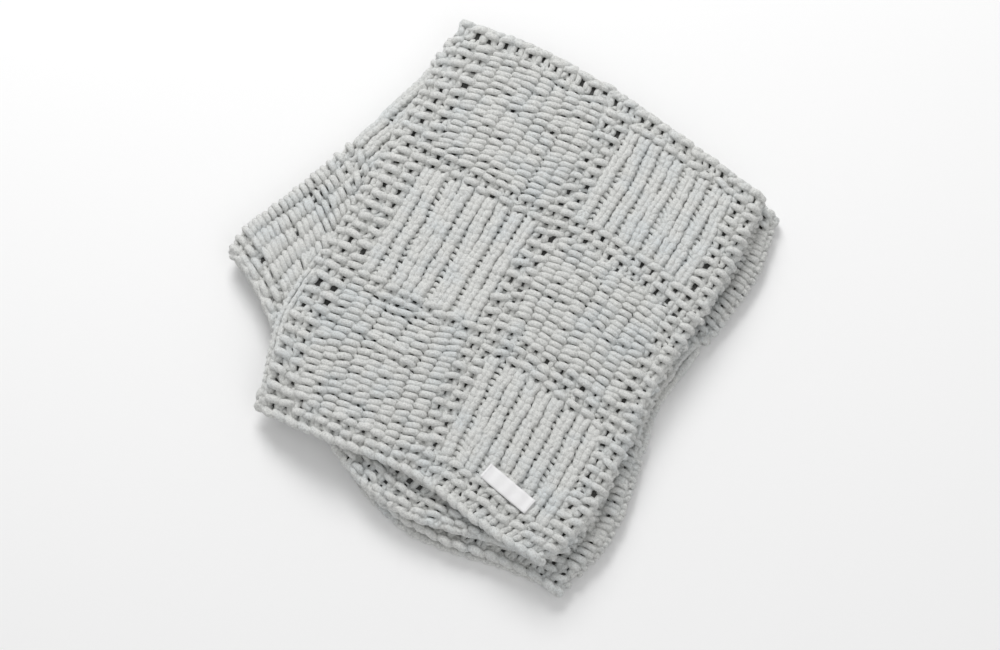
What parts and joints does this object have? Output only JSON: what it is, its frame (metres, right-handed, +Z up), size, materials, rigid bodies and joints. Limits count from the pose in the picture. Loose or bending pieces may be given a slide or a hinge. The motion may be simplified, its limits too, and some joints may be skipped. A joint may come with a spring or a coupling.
{
  "type": "knit blanket",
  "caption": "Chunky knit throw blanket in a check of purl and rib blocks, folded back and forth into a flat stack, with a blank sewn-on label.",
  "frame": {"origin": "centre of the folded blanket's box, on the surface it lies on", "axes": "+Z up through the plies, +Y towards the back edge, +X towards the fold of the top ply"},
  "size_m": [0.3808, 0.3908, 0.04],
  "materials": {
    "blanket": "matte",
    "label": "satin"
  },
  "bodies": {
    "root": {"blanket": "blanket", "label": "label"}
  },
  "joints": []
}
